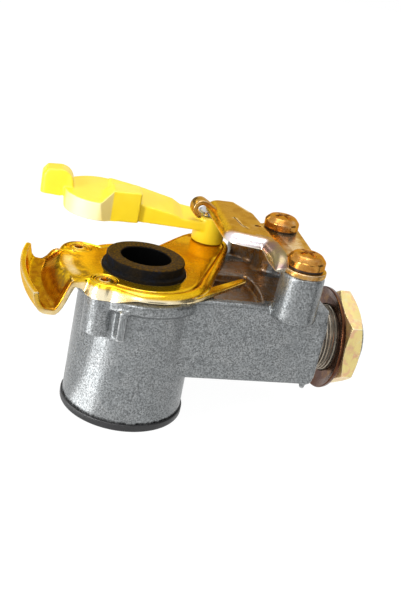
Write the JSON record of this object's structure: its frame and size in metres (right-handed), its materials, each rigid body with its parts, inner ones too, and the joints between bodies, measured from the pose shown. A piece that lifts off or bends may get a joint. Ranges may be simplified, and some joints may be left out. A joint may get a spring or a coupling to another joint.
{
  "type": "air brake coupling head",
  "caption": "Palm-type air brake coupling head with a cast body, gold pressed guide and locking plates, black seal, swinging yellow dust cover and a threaded stub with washer and nut.",
  "frame": {"origin": "centre of the seal's face, where the mating head's seal meets it", "axes": "+Z leaves the sealing face, +X runs along the arm to the threaded stub"},
  "size_m": [0.151, 0.0964, 0.0863],
  "materials": {
    "casting": "matt die-cast aluminium",
    "gold_plate": "yellow chromated zinc on pressed steel",
    "gold_screw": "yellow chromated zinc on steel screws",
    "dark_steel": "dark phosphated steel",
    "plain_steel": "bright steel",
    "seal_rubber": "smooth black rubber",
    "cover_plastic": "satin yellow plastic",
    "cage_plastic": "natural moulded plastic",
    "cap_plastic": "satin black plastic",
    "nut_zinc": "pale yellow chromated zinc"
  },
  "bodies": {
    "head": {"body": "casting", "seal_ring": "seal_rubber", "guide_plate": "gold_plate", "guide_screw_front": "gold_screw", "guide_screw_rear": "gold_screw", "locking_plate": "gold_plate", "plate_screw_front": "gold_screw", "plate_screw_rear": "gold_screw", "lock_washer_front": "dark_steel", "lock_washer_rear": "dark_steel", "pivot_pin": "plain_steel", "pivot_washer": "plain_steel", "filter_spring": "plain_steel", "bottom_cap": "cap_plastic", "cap_o_ring": "seal_rubber", "stub_washer": "gold_plate", "lock_nut": "nut_zinc"},
    "cover": {"dust_cover": "cover_plastic"},
    "filter": {"filter_cage": "cage_plastic", "filter_mesh": "plain_steel"}
  },
  "joints": [
    {"name": "cover_swivel", "type": "hinge", "parent": "head", "child": "cover", "pos_m": [0.0375, 0.042, 0], "axis": [0, 0, 1], "range_deg": [-45, 54]},
    {"name": "filter_lift", "type": "slide", "parent": "head", "child": "filter", "axis": [0, 0, 1], "range_m": [-0.004, 0], "stiffness_N_per_m": 400, "springref_m": 0.004, "deforming": ["filter_spring"]}
  ]
}
